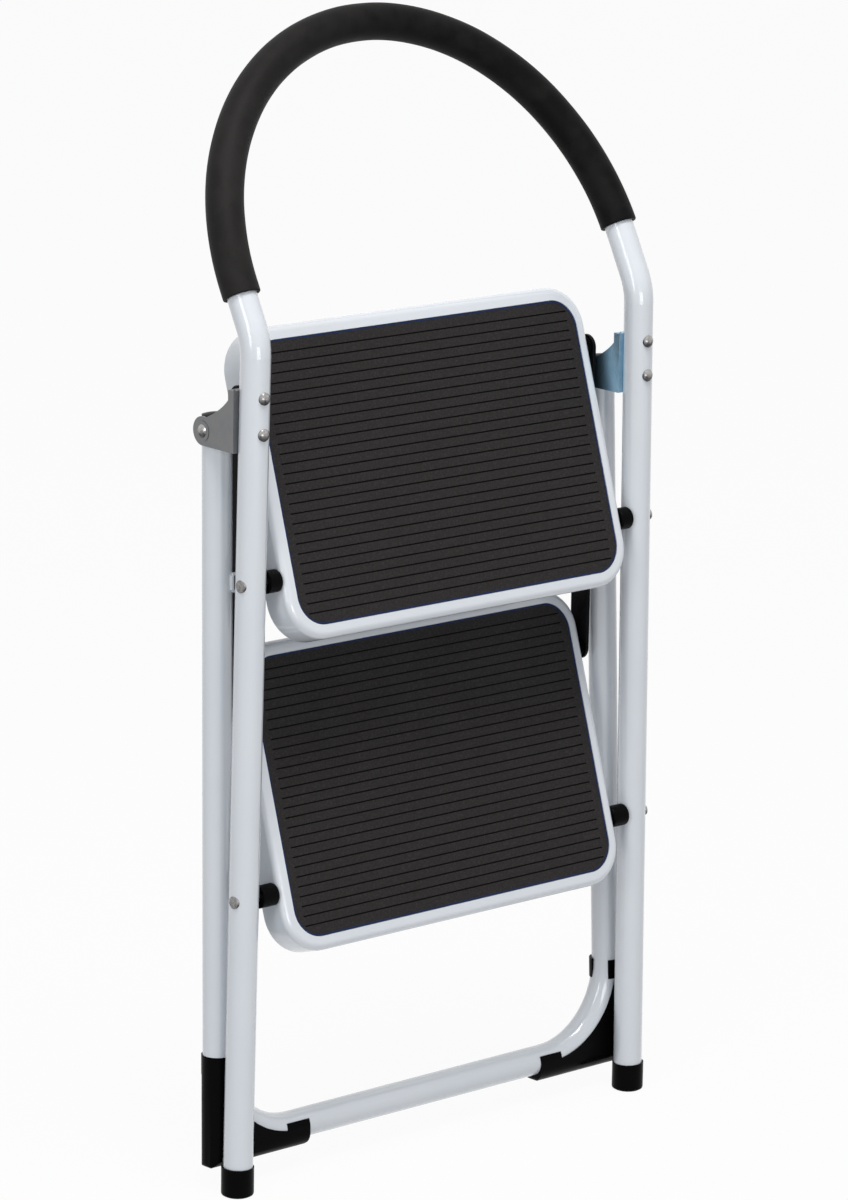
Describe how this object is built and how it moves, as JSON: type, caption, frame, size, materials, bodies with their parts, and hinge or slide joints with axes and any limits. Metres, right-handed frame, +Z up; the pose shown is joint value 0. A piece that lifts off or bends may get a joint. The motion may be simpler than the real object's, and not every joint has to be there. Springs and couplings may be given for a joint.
{
  "type": "two-step folding ladder",
  "caption": "Folding steel step ladder with ribbed rubber treads, leaning hoop handle with foam grip, hinged rear frame and link bars that fold the steps flat.",
  "frame": {"origin": "on the floor, in the middle of the folded ladder's outline", "axes": "+X across the ladder to the user's right, +Y from the front (step side) to the back, +Z up along the upright front legs"},
  "size_m": [0.465, 0.1628, 0.9586],
  "materials": {
    "frame_paint": "gloss white powder coat with a faint cool tint",
    "grip_foam": "closed-cell foam, satin black with fine pores",
    "mat_rubber": "matt black grooved rubber",
    "black_plastic": "moulded satin black plastic",
    "black_steel": "satin black paint on steel",
    "zinc_sheet": "dull galvanised sheet",
    "rivet_steel": "plated rivet, slightly worn"
  },
  "bodies": {
    "front": {"front_frame": "frame_paint", "handle_grip": "grip_foam", "front_foot_left": "black_plastic", "front_foot_right": "black_plastic", "hinge_bracket_left": "zinc_sheet", "hinge_bracket_right": "zinc_sheet", "bracket_rivets": "rivet_steel", "hinge_pins": "rivet_steel", "hinge_bushes": "black_plastic", "step_pivot_pins": "rivet_steel", "step_spacers": "black_plastic"},
    "rear": {"rear_frame": "frame_paint", "rear_plug_left": "black_plastic", "rear_plug_right": "black_plastic", "corner_foot_left": "black_plastic", "corner_foot_right": "black_plastic", "support_bar": "black_steel"},
    "upper_tread": {"upper_step": "frame_paint", "upper_mat": "mat_rubber", "upper_stiffener": "zinc_sheet", "upper_catch_left": "black_plastic", "upper_catch_right": "black_plastic", "upper_link_pins": "rivet_steel", "upper_washers": "black_plastic"},
    "lower_tread": {"lower_step": "frame_paint", "lower_mat": "mat_rubber", "lower_stiffener": "zinc_sheet", "lower_link_pins": "rivet_steel", "lower_washers": "black_plastic"},
    "left_link": {"link_bar_left": "black_steel"},
    "right_link": {"link_bar_right": "black_steel"}
  },
  "joints": [
    {"name": "rear_fold", "type": "hinge", "parent": "front", "child": "rear", "pos_m": [0, -0.00864, 0.6375], "axis": [1, 0, 0], "range_deg": [0, 38]},
    {"name": "upper_turn", "type": "hinge", "parent": "front", "child": "upper_tread", "pos_m": [0, -0.05794, 0.518], "axis": [-1, 0, 0], "range_deg": [0, 53.9]},
    {"name": "lower_turn", "type": "hinge", "parent": "front", "child": "lower_tread", "pos_m": [0, -0.05794, 0.254], "axis": [-1, 0, 0], "range_deg": [0, 53.9]},
    {"name": "left_link_turn", "type": "hinge", "parent": "upper_tread", "child": "left_link", "pos_m": [-0.1895, -0.01233, 0.6609], "axis": [1, 0, 0], "range_deg": [0, 53.9]},
    {"name": "right_link_turn", "type": "hinge", "parent": "upper_tread", "child": "right_link", "pos_m": [0.1895, -0.01233, 0.6609], "axis": [1, 0, 0], "range_deg": [0, 53.9]}
  ],
  "couplings": [
    {"joint": "upper_turn", "follows": "rear_fold", "ratio": 1.4184},
    {"joint": "lower_turn", "follows": "rear_fold", "ratio": 1.4184},
    {"joint": "left_link_turn", "follows": "rear_fold", "ratio": 1.4184},
    {"joint": "right_link_turn", "follows": "rear_fold", "ratio": 1.4184}
  ]
}
